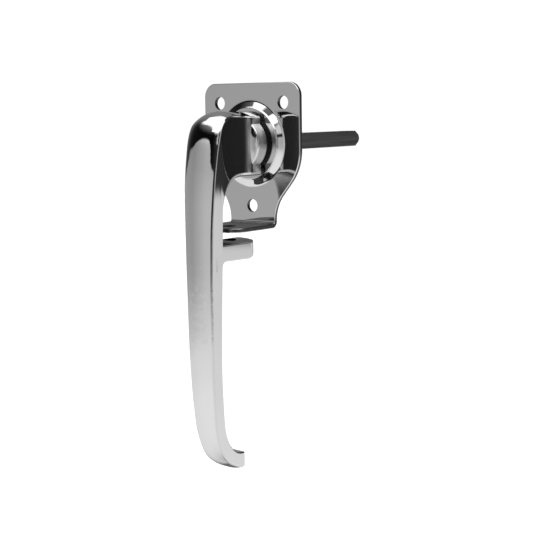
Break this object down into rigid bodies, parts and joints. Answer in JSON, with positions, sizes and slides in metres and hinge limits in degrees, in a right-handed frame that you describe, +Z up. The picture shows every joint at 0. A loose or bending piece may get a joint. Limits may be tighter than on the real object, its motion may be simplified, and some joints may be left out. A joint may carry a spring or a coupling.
{
  "type": "padlockable latch handle",
  "caption": "L-shaped pull handle with a padlock lug, turning a square spindle in a pressed mounting plate that is folded into a padlock shelf.",
  "frame": {"origin": "the spindle axis where it crosses the mounting plate's back face", "axes": "+X to the right seen from in front of the door, +Y into the door along the spindle, +Z up; the handle is stored pointing straight down"},
  "size_m": [0.0702, 0.1549, 0.2222],
  "materials": {
    "chrome_plate": "bright chrome plated steel sheet",
    "chrome_handle": "bright chrome plated zinc casting, buffed to a slightly softer shine on the grip",
    "spindle_steel": "dark drawn steel bar",
    "spring_steel": "plain spring steel",
    "bush_plastic": "black acetal"
  },
  "bodies": {
    "base": {"mounting_plate": "chrome_plate", "hub_bushing": "bush_plastic", "wave_washer": "spring_steel"},
    "lever": {"handle": "chrome_handle", "spindle": "spindle_steel", "spindle_pin": "spring_steel", "thrust_washer": "spring_steel", "retaining_ring": "spring_steel"}
  },
  "joints": [
    {"name": "handle_turn", "type": "hinge", "parent": "base", "child": "lever", "pos_m": [0, 0, 0], "axis": [0, 1, 0], "range_deg": [-90, 90]}
  ]
}
